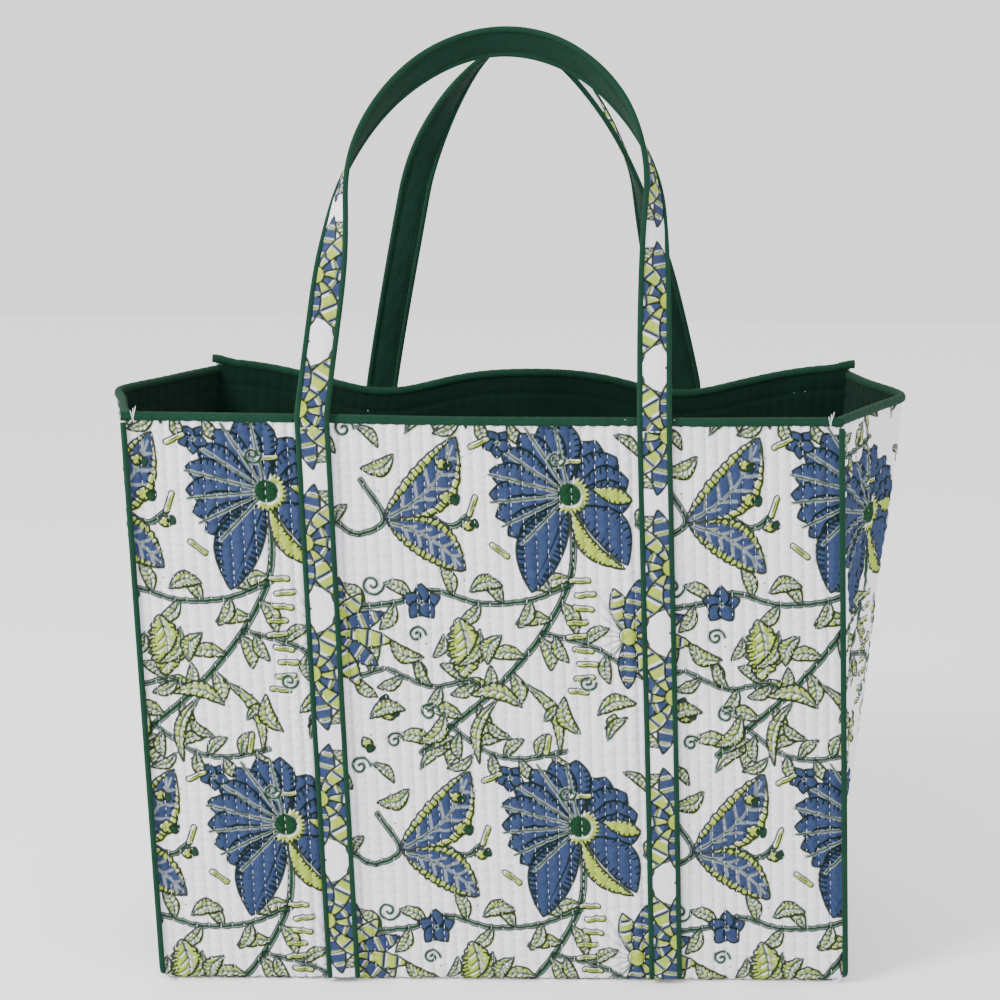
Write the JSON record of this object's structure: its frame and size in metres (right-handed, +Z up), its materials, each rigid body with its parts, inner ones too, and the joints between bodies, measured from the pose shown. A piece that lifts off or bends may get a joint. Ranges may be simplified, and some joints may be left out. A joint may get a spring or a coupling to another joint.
{
  "type": "knitting bag",
  "caption": "Soft quilted cotton knitting bag with an open top, bound rim, corded seams, sewn straps and hinged handle loops.",
  "frame": {"origin": "centre of the base, on the floor", "axes": "+Z up, -Y towards the front panel, +X to the right seen from the front"},
  "size_m": [0.5384, 0.1934, 0.6315],
  "materials": {
    "printed_cotton": "quilted cotton, block printed in blue, green and lime on off-white",
    "wadding": "soft cotton wadding",
    "lining_cotton": "dark green quilted cotton",
    "green_cotton": "plain woven green cotton",
    "green_piping": "green cotton bias strip",
    "white_thread": "white cotton thread"
  },
  "bodies": {
    "bag": {"back_left_strap_backing": "green_cotton", "back_left_strap_face": "printed_cotton", "back_left_strap_piping": "green_piping", "back_panel_lining": "lining_cotton", "back_panel_outer": "printed_cotton", "back_panel_wadding": "wadding", "back_right_strap_backing": "green_cotton", "back_right_strap_face": "printed_cotton", "back_right_strap_piping": "green_piping", "back_rim_binding": "green_piping", "back_strap_stitch_rows": "white_thread", "base_lining": "lining_cotton", "base_outer": "printed_cotton", "base_wadding": "wadding", "front_corner_tacks": "white_thread", "front_left_strap_backing": "green_cotton", "front_left_strap_face": "printed_cotton", "front_left_strap_piping": "green_piping", "front_panel_lining": "lining_cotton", "front_panel_outer": "printed_cotton", "front_panel_wadding": "wadding", "front_right_strap_backing": "green_cotton", "front_right_strap_face": "printed_cotton", "front_right_strap_piping": "green_piping", "front_rim_binding": "green_piping", "front_strap_stitch_rows": "white_thread", "left_gusset_lining": "lining_cotton", "left_gusset_outer": "printed_cotton", "left_gusset_piping": "green_piping", "left_gusset_wadding": "wadding", "left_rim_binding": "green_piping", "right_gusset_lining": "lining_cotton", "right_gusset_outer": "printed_cotton", "right_gusset_piping": "green_piping", "right_gusset_wadding": "wadding", "right_rim_binding": "green_piping"},
    "front_handle": {"front_handle_backing": "green_cotton", "front_handle_face": "printed_cotton", "front_handle_inner_piping": "green_piping", "front_handle_outer_piping": "green_piping"},
    "back_handle": {"back_handle_backing": "green_cotton", "back_handle_face": "printed_cotton", "back_handle_inner_piping": "green_piping", "back_handle_outer_piping": "green_piping"}
  },
  "joints": [
    {"name": "front_handle_swing", "type": "hinge", "parent": "bag", "child": "front_handle", "pos_m": [0, -0.0964, 0.3952], "axis": [1, 0, 0], "range_deg": [0, 188]},
    {"name": "back_handle_swing", "type": "hinge", "parent": "bag", "child": "back_handle", "pos_m": [0, 0.0964, 0.3952], "axis": [-1, 0, 0], "range_deg": [0, 188]}
  ]
}
